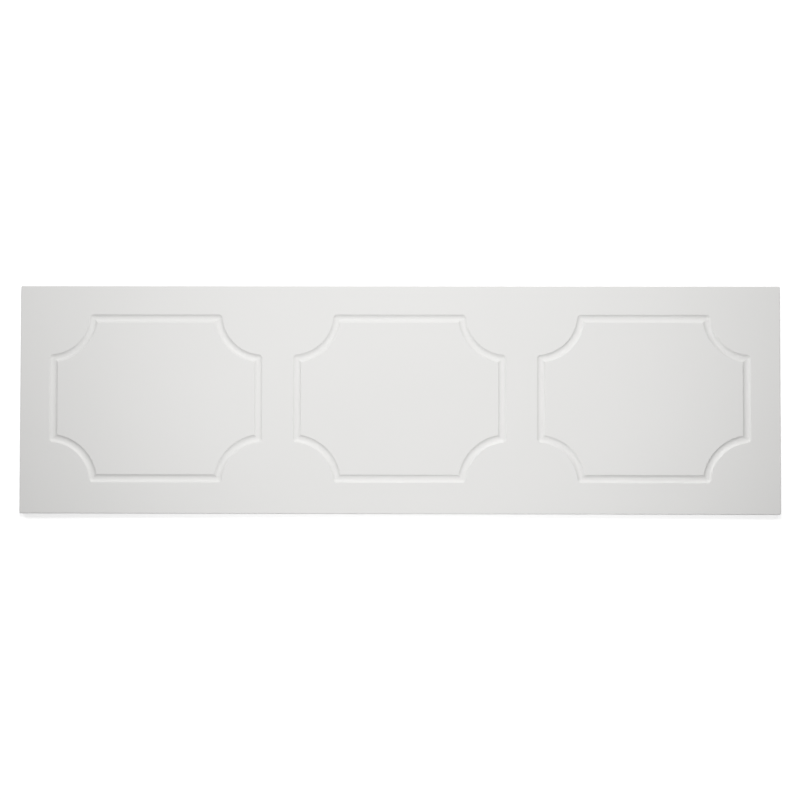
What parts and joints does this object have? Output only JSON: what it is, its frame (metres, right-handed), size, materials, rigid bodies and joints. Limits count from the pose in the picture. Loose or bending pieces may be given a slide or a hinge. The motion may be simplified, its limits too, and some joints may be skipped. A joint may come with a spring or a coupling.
{
  "type": "bath panel",
  "caption": "Long flat white panel that closes the side of a bath, its face routed with a row of scooped-corner plaque grooves, with a plain flat back.",
  "frame": {"origin": "middle of the flat back face, on the surface that the panel lies on", "axes": "+X along the panel's length, +Y from the edge that stands on the floor in use to the edge under the bath rim, +Z out of the decorated front face"},
  "size_m": [1.7, 0.51, 0.018],
  "materials": {
    "white_foil": "satin"
  },
  "bodies": {
    "root": {"bath_panel": "white_foil"}
  },
  "joints": []
}
